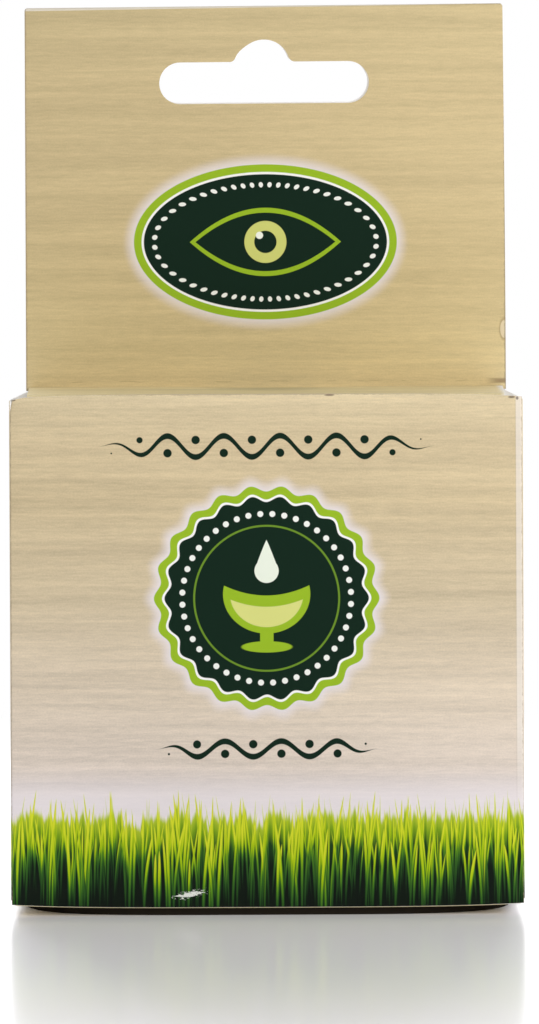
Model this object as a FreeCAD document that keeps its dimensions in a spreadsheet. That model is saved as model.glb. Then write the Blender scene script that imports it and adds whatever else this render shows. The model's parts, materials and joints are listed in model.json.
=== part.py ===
import FreeCAD, Part
import math
import os
import re

import Sketcher

# A hanging carton of folded board that holds a glass eye bath in a board cradle.
# Every board panel is drawn lying on its own crease: local X runs along the crease,
# local Y runs away from it over the board, and local Z is the printed side's normal.
# The row frame has +Z up and the printed front facing -Y. Its origin is on the
# floor, under the middle of the carton.

SIZES = [
    ("carton_width", 73.0, "carton across its front, outside"),
    ("carton_depth", 44.0, "carton from front to back, outside"),
    ("carton_height", 73.0, "floor to the closed lid's printed face"),
    ("header_height", 58.2, "hanging header above the closed lid"),
    ("header_corner", 0.5, "radius of the header's top corners"),
    ("board", 0.5, "thickness of the board"),
    ("fold_radius", 0.4, "outside radius of a folded crease"),
    ("crease_gap", 0.04, "gap in a crease whose two sides move"),
    ("hinge_gap", 0.1, "gap between the lid's crease and the header"),
    ("flap_gap", 0.1, "gap between a lid and the dust flaps under it"),
    ("tuck_gap", 0.25, "gap between a tuck flap and the wall it slides behind"),
    ("inner_gap", 0.3, "gap round what stands inside the carton"),
    ("lid_inset", 0.5, "lid narrower than the carton at its crease, each side"),
    ("lid_taper", 2.0, "further narrowing at the lid's free edge, each side"),
    ("tuck_length", 14.0, "tuck flap below its crease"),
    ("tuck_corner", 7.0, "radius of a tuck flap's free corners"),
    ("lock_length", 5.0, "slit lock at each end of a tuck crease"),
    ("lock_width", 0.8, "width of the slit lock"),
    ("dust_length", 18.0, "dust flap from its crease to its tip"),
    ("dust_offset", 2.0, "dust flap's start, forward of the lid's crease"),
    ("dust_shoulder", 1.2, "dust flap's shoulder, clear of the tuck flap"),
    ("dust_taper", 4.0, "slope of the dust flap's edge beside the tuck flap"),
    ("seam_width", 12.0, "glue flap inside the left wall"),
    ("seam_taper", 4.0, "slope of the glue flap's two ends"),
    ("slot_width", 32.0, "hanging slot, end to end"),
    ("slot_height", 6.4, "hanging slot, top to bottom"),
    ("slot_below_top", 8.6, "header's top edge to the slot's upper edge"),
    ("peak_radius", 4.0, "radius of the slot's middle peak"),
    ("peak_rise", 3.4, "middle peak above the slot's upper edge"),
    ("peak_blend", 1.0, "radius where the peak runs into the slot"),
    ("ply_rise", 0.2, "back ply's slot, higher than the front ply's"),
    ("ply_shift", 0.25, "back ply's slot, further to the left"),
    ("deck_height", 33.0, "cradle deck's upper face above the floor"),
    ("skirt_depth", 13.0, "cradle skirts below the deck"),
    ("skirt_taper", 5.0, "slope of a skirt's two ends"),
    ("cup_height", 50.0, "glass cup from its foot to its rim's ends"),
    ("rim_length", 48.0, "cup's rim along the eye"),
    ("rim_width", 34.0, "cup's rim across the eye"),
    ("rim_end", 13.0, "radius of the rim's two ends"),
    ("rim_dip", 5.0, "saddle of the rim, end to middle"),
    ("rim_bevel", 0.5, "ground bevel on the rim's two edges"),
    ("glass_wall", 2.3, "thickness of the glass"),
    ("bowl_start", 12.0, "stem's top, where the bowl begins"),
    ("bowl_taper", 8.0, "bowl narrower at its start than at the rim, each side"),
    ("bowl_round", 4.5, "rounding under the bowl"),
    ("bowl_floor", 3.5, "glass between the stem and the bowl's inside"),
    ("seat_height", 28.0, "where the deck holds the cup, above its foot"),
    ("stem_radius", 5.5, "stem under the bowl"),
    ("stem_curve", 2.5, "radius of the sweep from foot to stem"),
    ("foot_radius", 12.0, "round foot"),
    ("foot_edge", 2.4, "height of the foot's rim"),
    ("foot_slope", 18.0, "slope of the foot's top, in degrees"),
    ("foot_bevel", 0.6, "bevel on the foot's two edges"),
    ("punt_radius", 8.5, "hollow under the foot"),
    ("punt_depth", 0.8, "depth of the hollow under the foot"),
    ("cut_margin", 1.0, "how far a cutting outline runs past the material"),
]

RIGHT = FreeCAD.Vector(1, 0, 0)
REAR = FreeCAD.Vector(0, 1, 0)
UP = FreeCAD.Vector(0, 0, 1)
LEFT = FreeCAD.Vector(-1, 0, 0)
FRONT = FreeCAD.Vector(0, -1, 0)
DOWN = FreeCAD.Vector(0, 0, -1)

doc = FreeCAD.newDocument("EyeBathCarton")
sheet = doc.addObject("Spreadsheet::Sheet", "Sizes")
for row, (alias, number, meaning) in enumerate(SIZES, start=1):
    sheet.set(f"A{row}", meaning)
    sheet.set(f"B{row}", str(number))
    sheet.setAlias(f"B{row}", alias)
doc.recompute()

ALIASES = {alias for alias, number, meaning in SIZES}
subparts = []


def bind(text):
    """Point each size named in an expression at its cell in the sheet."""
    return re.sub(r"[a-z_]+", lambda word: "Sizes." + word[0] if word[0] in ALIASES else word[0], text)


def value(text):
    return float(sheet.evalExpression(bind(text)))


def arc_between(start, finish, radius, turn):
    """The short arc from start to finish; turn is 1 anticlockwise and -1 clockwise."""
    chord = finish - start
    half = chord.Length / 2
    side = FreeCAD.Vector(-chord.y, chord.x, 0) / chord.Length
    rise = math.sqrt(max(radius * radius - half * half, 0))
    centre = (start + finish) / 2 + side * (rise * turn)
    circle = Part.Circle(centre, UP, radius)
    first, last = (start, finish) if turn > 0 else (finish, start)
    angles = [math.atan2(point.y - centre.y, point.x - centre.x) for point in (first, last)]
    if angles[1] < angles[0]:
        angles[1] += 2 * math.pi
    return Part.ArcOfCircle(circle, angles[0], angles[1])


def draw(body, name, plane, corners):
    """Draw a closed outline on one of the body's own origin planes.

    A corner is (x, y), reached by a line, or (x, y, radius, turn), reached by an arc.
    Each x, y and radius is an expression of the sheet's sizes.
    """
    drawing = body.newObject("Sketcher::SketchObject", name)
    origin = next(feature for feature in body.Origin.OriginFeatures if feature.Role == plane)
    drawing.AttachmentSupport = [(origin, "")]
    drawing.MapMode = "FlatFace"
    places = [FreeCAD.Vector(value(corner[0]), value(corner[1]), 0) for corner in corners]
    edges = []
    for index, corner in enumerate(corners):
        start, finish = places[index - 1], places[index]
        if len(corner) == 2:
            edges.append((drawing.addGeometry(Part.LineSegment(start, finish)), 1, 2))
            continue
        radius, turn = corner[2], corner[3]
        edge = drawing.addGeometry(arc_between(start, finish, value(radius), turn))
        edges.append((edge, 1, 2) if turn > 0 else (edge, 2, 1))
        bound = drawing.addConstraint(Sketcher.Constraint("Radius", edge, value(radius)))
        drawing.setExpression(f"Constraints[{bound}]", bind(radius))
    for index, corner in enumerate(corners):
        edge, first, last = edges[index]
        after = edges[(index + 1) % len(edges)]
        drawing.addConstraint(Sketcher.Constraint("Coincident", edge, last, after[0], after[1]))
        for axis, distance, text in (("DistanceX", places[index].x, corner[0]),
                                     ("DistanceY", places[index].y, corner[1])):
            bound = drawing.addConstraint(Sketcher.Constraint(axis, edge, last, distance))
            drawing.setExpression(f"Constraints[{bound}]", bind(text))
    return drawing


def place(part, x, y, z, away=None, outward=None):
    """Seat a sub-part: local Y points away, local Z outward, and X follows."""
    if away is not None:
        part.Placement.Rotation = FreeCAD.Rotation(away.cross(outward), away, outward, "XYZ")
    for axis, text in (("x", x), ("y", y), ("z", z)):
        part.setExpression(f"Placement.Base.{axis}", bind(text))


def panel(label, corners):
    """A board panel of the given outline, its printed face on the XY plane."""
    body = doc.addObject("PartDesign::Body", label)
    body.Label = label
    outline = draw(body, f"{label}_outline", "XY_Plane", corners)
    board = body.newObject("PartDesign::Pad", f"{label}_board")
    board.Profile = outline
    board.setExpression("Length", bind("board"))
    board.Reversed = True
    subparts.append(body)
    return body


def cut_edge(body, name, edge, at, profile, length=None):
    """Cut a profile along one straight edge of a panel.

    The profile's corners are (into the board from the edge, height) and are mirrored
    for the top and right edges. A length stops the cut above the local X axis.
    """
    mirrored = edge in ("top", "right")
    sign = "-" if mirrored else "+"
    corners = []
    for corner in profile:
        moved = (f"({at}) {sign} ({corner[0]})", corner[1])
        if len(corner) == 4:
            moved += (corner[2], -corner[3] if mirrored else corner[3])
        corners.append(moved)
    plane = "YZ_Plane" if edge in ("top", "bottom") else "XZ_Plane"
    outline = draw(body, f"{name}_outline", plane, corners)
    cut = body.newObject("PartDesign::Pocket", name)
    cut.Profile = outline
    if length is None:
        cut.Type = "ThroughAll"
        cut.SideType = "Symmetric"
    else:
        cut.Type = "Length"
        cut.setExpression("Length", bind(length))


def fold(body, edge, at, gap="0", length=None):
    """Mitre an edge at 45 degrees and round its printed corner, as a crease does."""
    share = f"(({gap}) / fold_radius)"
    spread = f"sqrt(2 - {share} * {share})"
    run = f"(fold_radius * (1 - ({spread} - {share}) / 2))"
    drop = f"(fold_radius * (1 - ({spread} + {share}) / 2))"
    cut_edge(body, f"{body.Name}_{edge}_fold", edge, at, [
        ("fold_radius", "0"),
        (run, f"-{drop}", "fold_radius", 1),
        (f"board + cut_margin + {gap}", "-board - cut_margin"),
        ("-cut_margin", "-board - cut_margin"),
        ("-cut_margin", "cut_margin"),
        ("fold_radius", "cut_margin"),
    ], length)


def round_over(body, edge, at, radius):
    """Round the printed corner of an edge that is cut square."""
    cut_edge(body, f"{body.Name}_{edge}_round", edge, at, [
        (radius, "0"),
        ("0", f"-{radius}", radius, 1),
        ("-cut_margin", f"-{radius}"),
        ("-cut_margin", "cut_margin"),
        (radius, "cut_margin"),
    ])


def hanging_slot(body, name, middle, top):
    """The wide slot with a peak in the middle that hangs on a display hook."""
    end = "(slot_height / 2)"
    flat = f"(slot_width / 2 - {end})"
    centre = "(peak_rise - peak_radius)"
    reach = "(peak_radius + peak_blend)"
    blend = f"sqrt({reach} * {reach} - (peak_blend - {centre}) * (peak_blend - {centre}))"
    tangent_x = f"({blend} * peak_radius / {reach})"
    tangent_y = f"({centre} + (peak_blend - {centre}) * peak_radius / {reach})"
    outline = draw(body, f"{name}_outline", "XY_Plane", [
        (f"{middle} - {flat}", f"{top} - slot_height", end, 1),
        (f"{middle} + {flat}", f"{top} - slot_height"),
        (f"{middle} + slot_width / 2", f"{top} - {end}", end, 1),
        (f"{middle} + {flat}", top, end, 1),
        (f"{middle} + {blend}", top),
        (f"{middle} + {tangent_x}", f"{top} + {tangent_y}", "peak_blend", -1),
        (middle, f"{top} + peak_rise", "peak_radius", 1),
        (f"{middle} - {tangent_x}", f"{top} + {tangent_y}", "peak_radius", 1),
        (f"{middle} - {blend}", top, "peak_blend", -1),
        (f"{middle} - {flat}", top),
        (f"{middle} - slot_width / 2", f"{top} - {end}", end, 1),
    ])
    slot = body.newObject("PartDesign::Pocket", name)
    slot.Profile = outline
    slot.Type = "ThroughAll"
    slot.SideType = "Symmetric"


HALF_WIDTH = "carton_width / 2"
HALF_DEPTH = "carton_depth / 2"
TOTAL_HEIGHT = "(carton_height + header_height)"
SIDE_FOOT = "(board + flap_gap)"
SIDE_HEIGHT = f"(carton_height - 2 * {SIDE_FOOT})"
HEADER_FACE = f"({HALF_DEPTH} - 2 * board)"
LID_CREASE = f"({HEADER_FACE} - hinge_gap)"
TUCK_FACE = f"({HALF_DEPTH} - board - tuck_gap)"


# Tube of the carton


def front_panel():
    body = panel("front_panel", [
        (f"-{HALF_WIDTH}", "0"),
        (HALF_WIDTH, "0"),
        (HALF_WIDTH, "carton_height"),
        (f"-{HALF_WIDTH}", "carton_height"),
    ])
    fold(body, "left", f"-{HALF_WIDTH}")
    fold(body, "right", HALF_WIDTH)
    fold(body, "bottom", "0", "crease_gap")
    place(body, "0", f"-{HALF_DEPTH}", "0", UP, FRONT)


def back_panel():
    """The back wall and the header's back ply are one flat length of board."""
    seam = f"{HALF_WIDTH} - board"
    wall_top = f"{SIDE_FOOT} + {SIDE_HEIGHT}"
    body = panel("back_panel", [
        (f"-{HALF_WIDTH}", "0"),
        (seam, "0"),
        (seam, wall_top),
        (HALF_WIDTH, wall_top),
        (HALF_WIDTH, f"{TOTAL_HEIGHT} - header_corner"),
        (f"{HALF_WIDTH} - header_corner", TOTAL_HEIGHT, "header_corner", 1),
        (f"-{HALF_WIDTH} + header_corner", TOTAL_HEIGHT),
        (f"-{HALF_WIDTH}", f"{TOTAL_HEIGHT} - header_corner", "header_corner", 1),
    ])
    fold(body, "left", f"-{HALF_WIDTH}", length=wall_top)
    fold(body, "right", seam, length=wall_top)
    round_over(body, "top", TOTAL_HEIGHT, "board")
    hanging_slot(body, "back_slot", "ply_shift", f"({TOTAL_HEIGHT} - slot_below_top + ply_rise)")
    place(body, "0", HALF_DEPTH, "0", UP, REAR)


def header_front_ply():
    """The back wall's board, folded over at the top and glued down in front of it."""
    body = panel("header_front_ply", [
        (f"-{HALF_WIDTH}", "-board"),
        (HALF_WIDTH, "-board"),
        (HALF_WIDTH, "header_height - header_corner"),
        (f"{HALF_WIDTH} - header_corner", "header_height", "header_corner", 1),
        (f"-{HALF_WIDTH} + header_corner", "header_height"),
        (f"-{HALF_WIDTH}", "header_height - header_corner", "header_corner", 1),
    ])
    round_over(body, "top", "header_height", "board")
    hanging_slot(body, "front_slot", "0", "(header_height - slot_below_top)")
    place(body, "0", HEADER_FACE, "carton_height", UP, FRONT)


def side_panels():
    for label, outward, x, front_edge in (("left_side_panel", LEFT, f"-{HALF_WIDTH}", "right"),
                                          ("right_side_panel", RIGHT, HALF_WIDTH, "left")):
        body = panel(label, [
            (f"-{HALF_DEPTH}", "0"),
            (HALF_DEPTH, "0"),
            (HALF_DEPTH, SIDE_HEIGHT),
            (f"-{HALF_DEPTH}", SIDE_HEIGHT),
        ])
        front = HALF_DEPTH if front_edge == "right" else f"-{HALF_DEPTH}"
        fold(body, front_edge, front)
        if outward is RIGHT:
            fold(body, "right", HALF_DEPTH)
        fold(body, "bottom", "0", "crease_gap")
        fold(body, "top", SIDE_HEIGHT, "crease_gap")
        place(body, x, "0", SIDE_FOOT, UP, outward)


def glue_seam_flap():
    """Hinged on the back wall's left edge and glued inside the left wall."""
    half = f"({SIDE_HEIGHT} / 2 - board - inner_gap)"
    body = panel("glue_seam_flap", [
        (f"-{half}", "0"),
        (half, "0"),
        (f"{half} - seam_taper", "seam_width"),
        (f"-{half} + seam_taper", "seam_width"),
    ])
    fold(body, "bottom", "0")
    place(body, f"-{HALF_WIDTH} + board", HALF_DEPTH, "carton_height / 2", FRONT, LEFT)


# Closures


def closure_lid(label, length):
    """A lid that narrows towards its free edge, rounded where the tuck flap turns."""
    crease = f"({HALF_WIDTH} - lid_inset)"
    free = f"({crease} - lid_taper)"
    body = panel(label, [
        (f"-{crease}", "0"),
        (crease, "0"),
        (free, length),
        (f"-{free}", length),
    ])
    round_over(body, "top", length, "fold_radius")
    return body


def tuck_flap(label):
    """The flap that slides in behind a wall, with slit locks at its crease."""
    half = f"({HALF_WIDTH} - lid_inset - lid_taper)"
    return panel(label, [
        (f"-{half} + lock_length", "0"),
        (f"{half} - lock_length", "0"),
        (f"{half} - lock_length", "lock_width"),
        (half, "lock_width"),
        (half, "tuck_length - tuck_corner"),
        (f"{half} - tuck_corner", "tuck_length", "tuck_corner", 1),
        (f"-{half} + tuck_corner", "tuck_length"),
        (f"-{half}", "tuck_length - tuck_corner", "tuck_corner", 1),
        (f"-{half}", "lock_width"),
        (f"-{half} + lock_length", "lock_width"),
    ])


def top_closure():
    lid = closure_lid("top_lid", f"({LID_CREASE} + {TUCK_FACE})")
    place(lid, "0", LID_CREASE, "carton_height", FRONT, UP)
    tuck = tuck_flap("top_tuck_flap")
    place(tuck, "0", f"-{TUCK_FACE}", "carton_height - board - crease_gap", DOWN, FRONT)


def bottom_closure():
    lid = closure_lid("bottom_lid", f"({HALF_DEPTH} + {TUCK_FACE})")
    fold(lid, "bottom", "0", "crease_gap")
    place(lid, "0", f"-{HALF_DEPTH}", "0", REAR, DOWN)
    tuck = tuck_flap("bottom_tuck_flap")
    place(tuck, "0", TUCK_FACE, "board + crease_gap", UP, REAR)


def dust_flap(label, side, outward, crease_start, tuck_end):
    """A flap on a side wall, cut back at 45 degrees beside the lid's crease.

    crease_start and tuck_end are the flap's two ends along the row's Y axis.
    """
    inward = RIGHT if side is LEFT else LEFT
    along = inward.cross(outward).y
    sign = "" if along > 0 else "-"
    slope = 1 if tuck_end.startswith("-") else -1
    corners = [
        (f"{sign}({crease_start})", "0"),
        (f"{sign}({crease_start} - {slope} * dust_length)", "dust_length"),
        (f"{sign}({tuck_end} + {slope} * dust_taper)", "dust_length"),
        (f"{sign}({tuck_end})", "0"),
    ]
    body = panel(label, corners)
    fold(body, "bottom", "0", "crease_gap")
    x = f"-{HALF_WIDTH}" if side is LEFT else HALF_WIDTH
    z = f"carton_height - {SIDE_FOOT}" if outward is UP else SIDE_FOOT
    place(body, x, "0", z, inward, outward)


def dust_flaps():
    shoulder = f"({TUCK_FACE} - board - dust_shoulder)"
    for name, side in (("left", LEFT), ("right", RIGHT)):
        dust_flap(f"top_dust_flap_{name}", side, UP, f"({LID_CREASE} - dust_offset)", f"-{shoulder}")
        dust_flap(f"bottom_dust_flap_{name}", side, DOWN, f"-({HALF_DEPTH} - dust_offset)", shoulder)


# Cradle that carries the cup

CRADLE_HALF = f"({HALF_WIDTH} - 2 * board - inner_gap)"
CRADLE_FRONT = f"({HALF_DEPTH} - board - inner_gap)"
CRADLE_REAR = f"({TUCK_FACE} - board - inner_gap)"
CRADLE_FOOT = "(2 * board + flap_gap + inner_gap)"

# The centres of the cup's arcs: its ends' on the long axis, its sides' on the short one.
OVAL_END = "(rim_length / 2 - rim_end)"
OVAL_GAP = "(rim_width / 2 - rim_end)"
OVAL_SIDE = f"(({OVAL_END} * {OVAL_END} - {OVAL_GAP} * {OVAL_GAP}) / (2 * {OVAL_GAP}))"
OVAL_SPACING = f"({OVAL_GAP} + {OVAL_SIDE})"


def cup_oval(body, name, inset):
    """An oval of four tangent arcs that lies the inset inside the cup's rim.

    All of them share their arcs' centres, so the glass between two ovals is conical.
    """
    end = f"(rim_end - ({inset}))"
    side = f"(rim_width / 2 + {OVAL_SIDE} - ({inset}))"
    x = f"({OVAL_END} + {end} * {OVAL_END} / {OVAL_SPACING})"
    y = f"({end} * {OVAL_SIDE} / {OVAL_SPACING})"
    return draw(body, name, "XY_Plane", [
        (x, y, end, 1),
        (f"-{x}", y, side, 1),
        (f"-{x}", f"-{y}", end, 1),
        (x, f"-{y}", side, 1),
    ])


def cradle_deck():
    body = panel("cradle_deck", [
        (f"-{CRADLE_HALF}", f"-{CRADLE_FRONT}"),
        (CRADLE_HALF, f"-{CRADLE_FRONT}"),
        (CRADLE_HALF, CRADLE_REAR),
        (f"-{CRADLE_HALF}", CRADLE_REAR),
    ])
    fold(body, "left", f"-{CRADLE_HALF}")
    fold(body, "right", CRADLE_HALF)
    fold(body, "bottom", f"-{CRADLE_FRONT}")
    fold(body, "top", CRADLE_REAR)
    seat_inset = "bowl_taper * (cup_height - seat_height) / (cup_height - bowl_start)"
    hole = body.newObject("PartDesign::Pocket", "cup_hole")
    hole.Profile = cup_oval(body, "cup_hole_outline", f"{seat_inset} - inner_gap")
    hole.Type = "ThroughAll"
    hole.SideType = "Symmetric"
    place(body, "0", "0", "deck_height", REAR, UP)


def cradle_legs():
    for label, outward, x, rear_sign in (("cradle_leg_left", LEFT, f"-{CRADLE_HALF}", 1),
                                         ("cradle_leg_right", RIGHT, CRADLE_HALF, -1)):
        front = f"{'-' if rear_sign > 0 else ''}{CRADLE_FRONT}"
        rear = f"{'' if rear_sign > 0 else '-'}{CRADLE_REAR}"
        body = panel(label, [
            (front, "0"),
            (rear, "0"),
            (rear, f"deck_height - {CRADLE_FOOT}"),
            (front, f"deck_height - {CRADLE_FOOT}"),
        ])
        fold(body, "bottom", "0")
        place(body, x, "0", "deck_height", DOWN, outward)


def cradle_skirts():
    half = f"({CRADLE_HALF} - board - inner_gap)"
    for label, outward, y in (("cradle_skirt_front", FRONT, f"-{CRADLE_FRONT}"),
                              ("cradle_skirt_rear", REAR, CRADLE_REAR)):
        body = panel(label, [
            (f"-{half}", "0"),
            (half, "0"),
            (f"{half} - skirt_taper", "skirt_depth"),
            (f"-{half} + skirt_taper", "skirt_depth"),
        ])
        fold(body, "bottom", "0")
        place(body, "0", y, "deck_height", DOWN, outward)


# Glass cup


def bowl_wall(body, kind, name, inset, start):
    """A conical wall that opens upwards to the rim's oval, less an inset all along it."""
    slope = "(bowl_taper / (cup_height - bowl_start))"
    oval = cup_oval(body, f"{name}_outline", f"{inset} + {slope} * (cup_height - {start})")
    oval.setExpression("AttachmentOffset.Base.z", bind(start))
    wall = body.newObject(kind, name)
    wall.Profile = oval
    wall.Reversed = kind == "PartDesign::Pocket"
    wall.setExpression("Length", bind(f"cup_height + cut_margin - {start}"))
    wall.setExpression("TaperAngle", bind(f"atan({slope})"))
    return wall


def soften(body, kind, name, base, chosen, size):
    """Round or bevel the edges of a feature that pass a test."""
    doc.recompute()
    edges = [f"Edge{number}" for number, edge in enumerate(base.Shape.Edges, start=1) if chosen(edge)]
    finish = body.newObject(kind, name)
    finish.Base = (base, edges)
    finish.setExpression("Radius" if kind == "PartDesign::Fillet" else "Size", bind(size))


def level_at(height):
    """A test for edges that lie level at a height."""
    level = value(height)
    return lambda edge: edge.BoundBox.ZLength < 0.001 and abs(edge.BoundBox.ZMin - level) < 0.001


def rim_saddle(body):
    """Dip the rim between its two ends, so that it closes on the curve of a face."""
    sweep = "((rim_length * rim_length / 4 + rim_dip * rim_dip) / (2 * rim_dip))"
    reach = "(rim_length / 2 + cut_margin)"
    brim = f"(cup_height - rim_dip + {sweep} - sqrt({sweep} * {sweep} - {reach} * {reach}))"
    saddle = body.newObject("PartDesign::Pocket", "rim_saddle")
    saddle.Profile = draw(body, "rim_saddle_outline", "XZ_Plane", [
        (f"-{reach}", brim),
        (reach, brim, sweep, 1),
        (reach, "cup_height + 2 * cut_margin"),
        (f"-{reach}", "cup_height + 2 * cut_margin"),
    ])
    saddle.Type = "ThroughAll"
    saddle.SideType = "Symmetric"
    return saddle


def foot_and_stem(body):
    """The round foot, swept up into the stem, and hollowed a little underneath."""
    into_bowl = "bowl_start + bowl_floor / 2"
    sweep_start = "(stem_radius + stem_curve * (1 - sin(foot_slope)))"
    foot_top = f"(foot_edge + (foot_radius - foot_bevel - {sweep_start}) * tan(foot_slope))"
    profile = draw(body, "foot_outline", "XZ_Plane", [
        ("0", "punt_depth"),
        ("punt_radius - punt_depth", "punt_depth"),
        ("punt_radius", "0"),
        ("foot_radius - foot_bevel", "0"),
        ("foot_radius", "foot_bevel"),
        ("foot_radius", "foot_edge - foot_bevel"),
        ("foot_radius - foot_bevel", "foot_edge"),
        (sweep_start, foot_top),
        ("stem_radius", f"{foot_top} + stem_curve * cos(foot_slope)", "stem_curve", -1),
        ("stem_radius", into_bowl),
        ("0", into_bowl),
    ])
    turned = body.newObject("PartDesign::Revolution", "foot_turned")
    turned.Profile = profile
    turned.ReferenceAxis = (profile, ["V_Axis"])
    turned.Angle = 360


def eye_cup():
    body = doc.addObject("PartDesign::Body", "eye_cup")
    body.Label = "eye_cup"
    bowl = bowl_wall(body, "PartDesign::Pad", "bowl", "0", "bowl_start")
    soften(body, "PartDesign::Fillet", "bowl_base", bowl, level_at("bowl_start"), "bowl_round")
    cavity_floor = "(bowl_start + bowl_floor)"
    cavity = bowl_wall(body, "PartDesign::Pocket", "cavity", "glass_wall", cavity_floor)
    soften(body, "PartDesign::Fillet", "cavity_base", cavity, level_at(cavity_floor), "bowl_round - glass_wall")
    saddle = rim_saddle(body)
    doc.recompute()
    rim = next(face for face in saddle.Shape.Faces if isinstance(face.Surface, Part.Cylinder))
    soften(body, "PartDesign::Chamfer", "rim", saddle,
           lambda edge: any(edge.isSame(other) for other in rim.Edges), "rim_bevel")
    foot_and_stem(body)
    place(body, "0", "0", "deck_height - seat_height")
    subparts.append(body)


front_panel()
back_panel()
header_front_ply()
side_panels()
glue_seam_flap()
top_closure()
bottom_closure()
dust_flaps()
cradle_deck()
cradle_legs()
cradle_skirts()
eye_cup()
doc.recompute()

for item in doc.Objects:
    if "Invalid" in item.State or "Error" in item.State:
        raise RuntimeError(f"{item.Label} failed: {item.State}")
for part in subparts:
    if part.Shape.isNull() or not part.Shape.isValid():
        raise RuntimeError(f"{part.Label} has no valid shape")

os.makedirs("parts", exist_ok=True)
for part in subparts:
    part.Shape.exportStep(f"parts/{part.Label}.step")
    size = part.Shape.BoundBox
    print(f"{part.Label}: {size.XLength:.2f} x {size.YLength:.2f} x {size.ZLength:.2f} mm, "
          f"{part.Shape.Volume:.1f} mm3")
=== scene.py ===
"""Dresses the hanging carton of folded board and the glass eye bath inside it."""

import json
import math

import bmesh
import bpy
from bpy.props import FloatProperty, FloatVectorProperty, IntProperty, PointerProperty
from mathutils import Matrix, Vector, noise


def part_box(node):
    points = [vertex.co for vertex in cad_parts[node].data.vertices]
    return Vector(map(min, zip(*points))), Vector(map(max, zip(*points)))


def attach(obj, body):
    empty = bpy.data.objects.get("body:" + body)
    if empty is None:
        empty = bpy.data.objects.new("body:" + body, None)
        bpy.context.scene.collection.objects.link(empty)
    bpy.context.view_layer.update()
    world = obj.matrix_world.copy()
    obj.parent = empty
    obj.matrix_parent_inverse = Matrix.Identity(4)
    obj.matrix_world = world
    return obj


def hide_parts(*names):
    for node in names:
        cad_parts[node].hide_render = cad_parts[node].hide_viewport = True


bl_info = {
    "name": "Hanging Carton",
    "version": (1, 0, 0),
    "blender": (4, 5, 0),
    "location": "3D Viewport > Sidebar > Carton",
    "description": "Prints, wears and lights a hanging carton that holds a glass eye bath",
    "category": "Object",
}

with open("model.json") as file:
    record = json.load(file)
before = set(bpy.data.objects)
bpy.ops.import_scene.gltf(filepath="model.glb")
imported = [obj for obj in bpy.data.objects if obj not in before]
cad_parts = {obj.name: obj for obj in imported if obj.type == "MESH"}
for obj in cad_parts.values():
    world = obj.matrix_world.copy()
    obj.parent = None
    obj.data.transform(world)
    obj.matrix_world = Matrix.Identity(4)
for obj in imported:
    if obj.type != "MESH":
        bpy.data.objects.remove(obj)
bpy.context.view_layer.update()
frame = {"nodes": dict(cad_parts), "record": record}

MM = 0.001
FRONT, REAR = Vector((0, -1, 0)), Vector((0, 1, 0))
LEFT, RIGHT = Vector((-1, 0, 0)), Vector((1, 0, 0))
DOWN, UP = Vector((0, 0, -1)), Vector((0, 0, 1))

# Sizes read from the frame, in millimetres, because the print is laid out in them.
WALL_LOW, WALL_HIGH = (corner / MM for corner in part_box("front_panel"))
HALF_WIDTH = WALL_HIGH.x
HALF_DEPTH = -WALL_LOW.y
WALL_TOP = WALL_HIGH.z
HEADER_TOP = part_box("header_front_ply")[1].z / MM

# Heights and sizes of what is printed, in millimetres, and the seal's count of lobes.
CUP_SEAL_HEIGHT, CUP_SEAL_RADIUS, CUP_SEAL_LOBES = 44.0, 15.6, 22
MEDALLION_HEIGHT, MEDALLION_HALF_WIDTH, MEDALLION_HALF_HEIGHT = 95.0, 20.0, 11.8
UPPER_RIPPLE_HEIGHT, LOWER_RIPPLE_HEIGHT = 65.6, 22.6
HAZE_TOP, HAZE_FULL, HAZE_SHARE = 21.0, 14.5, 0.8
SCUFF_X, SCUFF_HEIGHT = -11.1, 2.0
# Height of the curled ply edge whose shadow and highlight are painted on the header.
CURL_HEIGHT = 81.6

# How far the board is bent, and how wide the bends and calm rims are, in millimetres.
HEADER_LEAN, HEADER_DROP = 0.28, 0.45
HUMP_WIDENING = 0.6
LID_SAG = 0.45
BASE_LIFT, BASE_REACH = 0.45, 9
CREASE_PRESS = 0.08
CALM_RIM = 7

FRAME_HEIGHT = 1024  # of the picture, in pixels


def screen(red, green, blue):
    """A colour given as a paint chart gives it, 0 to 255, in Blender's linear values."""
    return tuple(((part / 255 + 0.055) / 1.055) ** 2.4 if part > 10 else part / 255 / 12.92
                 for part in (red, green, blue)) + (1.0,)


# Settings


class PrintSettings(bpy.types.PropertyGroup):
    """Inks and the layout of what is printed on the carton."""

    pale_green: FloatVectorProperty(
        name="Lime ink", description="Rings, blade tips and the motif", subtype="COLOR",
        size=4, min=0, max=1, default=screen(150, 184, 38))
    deep_green: FloatVectorProperty(
        name="Deep green ink", description="Discs and line ornament", subtype="COLOR",
        size=4, min=0, max=1, default=screen(6, 34, 20))
    haze: FloatVectorProperty(
        name="Haze", description="Pale glow round the seals and above the grass", subtype="COLOR",
        size=4, min=0, max=1, default=screen(232, 225, 228))
    grain_strength: FloatProperty(
        name="Grain", description="Contrast of the printed wood grain", default=0.13, min=0, max=1,
        subtype="FACTOR")
    grass_height: FloatProperty(
        name="Grass height", description="Tips of the tallest blades above the floor, in millimetres",
        default=16.2, min=0)
    grass_layers: IntProperty(
        name="Grass layers", description="Rows of blades printed over one another", default=8, min=1)


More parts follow.
